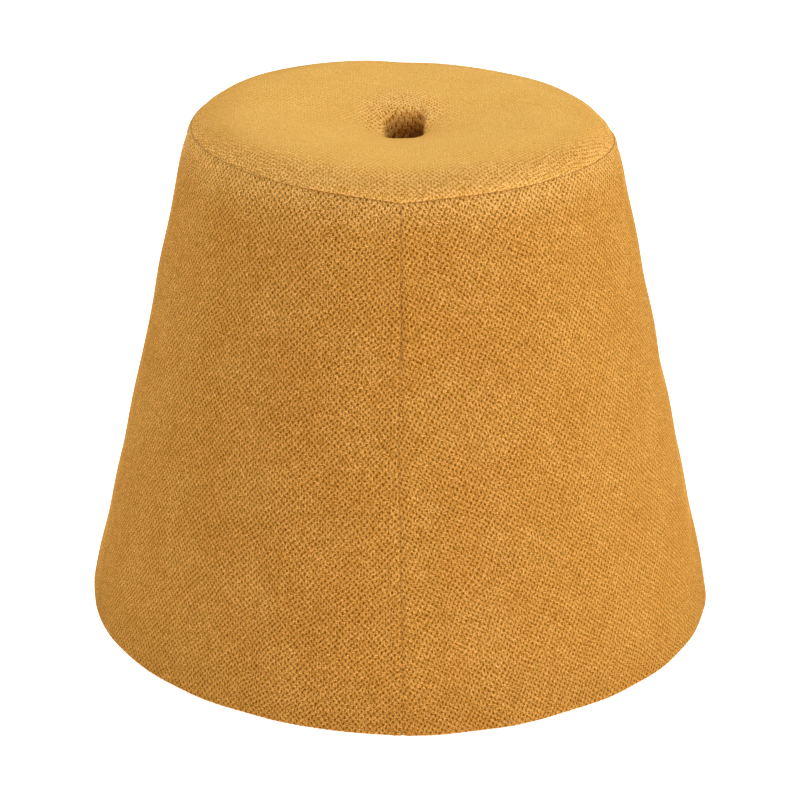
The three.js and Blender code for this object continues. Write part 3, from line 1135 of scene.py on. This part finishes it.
def felt(name):
    """Thin matt felt, near black, with paler fibres."""
    material, tree, shader = new_material(name)
    place = object_place(tree)
    fibres = noise(tree, place, 0.8 * MM, 4.0)
    clumps = noise(tree, place, 12 * MM)
    colour = blend_colours(tree, remap(tree, fibres, 0.35, 0.75), FELT_DEEP, FELT_LIGHT)
    colour = shaded(tree, colour, remap(tree, clumps, *NOISE_RANGE, 0.8, 1.2))
    height = calc(tree, "MULTIPLY", calc(tree, "ADD", fibres, clumps), 0.25 * MM)
    values = {"Roughness": 0.95, "Specular IOR Level": 0.1, "Sheen Weight": 0.2}
    dress(tree, shader, colour, height, values)
    return material


# Camera, light and floor. The camera's focal length is in pixels of the photo, which is square

CAMERA_PLACE = Vector((-0.1, -1895.9, 996.1)) * MM
CAMERA_TILT = 23.85
CAMERA_ROLL = 0.407
FOCAL = 2600
FRAME_SIZE = 800
SENSOR_WIDTH = 36
FLOOR_REACH = 12
FLOOR_WHITE = 0.8
FLOOR_GLOW = 0.98
TENT_GLOW = 1.0
TENT_RISE = (0.15, 0.4)
LIGHT_AIM = Vector((0, 0, 0.25))
LIGHTS = [
    {"name": "overhead", "place": (0.2, 0.2, 2.8), "size": 2.4, "power": 55},
    {"name": "key", "place": (1.95, -1.75, 0.9), "size": 1.2, "power": 26},
    {"name": "left_rim", "place": (-2.2, 1.0, 1.0), "size": 1.0, "power": 17},
    {"name": "right_rim", "place": (2.2, 1.2, 1.0), "size": 1.0, "power": 10},
]


def make_camera():
    camera = add_object("camera", bpy.data.cameras.new("camera"))
    camera.data.sensor_fit = "HORIZONTAL"
    camera.data.sensor_width = SENSOR_WIDTH
    camera.data.lens = SENSOR_WIDTH * FOCAL / FRAME_SIZE
    camera.data.clip_end = 100
    tilt = Matrix.Rotation(math.radians(90 - CAMERA_TILT), 4, "X")
    roll = Matrix.Rotation(math.radians(CAMERA_ROLL), 4, "Z")
    camera.matrix_world = Matrix.Translation(CAMERA_PLACE) @ (tilt @ roll)
    bpy.context.scene.camera = camera


def make_floor():
    mesh = bpy.data.meshes.new("floor")
    corners = [(x * FLOOR_REACH, y * FLOOR_REACH, 0) for x, y in ((-1, -1), (1, -1), (1, 1), (-1, 1))]
    mesh.from_pydata(corners, [], [(0, 1, 2, 3)])
    white, _, shader = new_material("floor_white")
    set_inputs(shader, {
        "Base Color": (FLOOR_WHITE, FLOOR_WHITE, FLOOR_WHITE, 1),
        "Roughness": 1,
        "Emission Color": (1, 1, 1, 1),
        "Emission Strength": FLOOR_GLOW,
    })
    mesh.materials.append(white)
    add_object("floor", mesh)


def soft_light(name, place, size, power):
    light = bpy.data.lights.new(name, "AREA")
    light.shape = "DISK"
    light.size = size
    light.energy = power
    made = add_object(name, light)
    made.location = place
    made.rotation_euler = (LIGHT_AIM - Vector(place)).to_track_quat("-Z", "Y").to_euler()


def make_world():
    """Light from low all round, as in a white tent, that fades upwards."""
    world = bpy.data.worlds.new("tent")
    bpy.context.scene.world = world
    world.use_nodes = True
    tree = world.node_tree
    background = tree.nodes["Background"]
    direction = add_node(tree, "ShaderNodeTexCoord").outputs["Generated"]
    rise = add_node(tree, "ShaderNodeSeparateXYZ", {0: direction}).outputs["Z"]
    tree.links.new(remap(tree, rise, *TENT_RISE, TENT_GLOW, 0.0), background.inputs["Strength"])
    background.inputs["Color"].default_value = (1, 1, 1, 1)


make_camera()
make_floor()
make_world()
for light in LIGHTS:
    soft_light(**light)
bpy.context.scene.view_settings.view_transform = "Standard"

top_cloth = woven("top_weave", 5, seat=True)
side_cloth = woven("side_weave", 15, seat=False)
top = top_cover("top_cover", TOP_GRAIN, 0.12 * MM, 11, top_cloth)
left = side_cover("side_cover_left", -1, LEFT_GRAIN, 0.2 * MM, 21, side_cloth)
right = side_cover("side_cover_right", 1, RIGHT_GRAIN, 0.12 * MM, 31, side_cloth)
base = base_cover("base_felt", felt("black_felt"))
stitches = seam_stitches("seam_stitches", thread("ochre_thread"))
for piece, node, slot in (
    (top, "top_panel", "top_cloth"),
    (left, "side_panel_left", "side_cloth"),
    (right, "side_panel_right", "side_cloth"),
    (base, "base_panel", "base_cloth"),
):
    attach(piece, "root")
    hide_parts(node)
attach(stitches, "root")
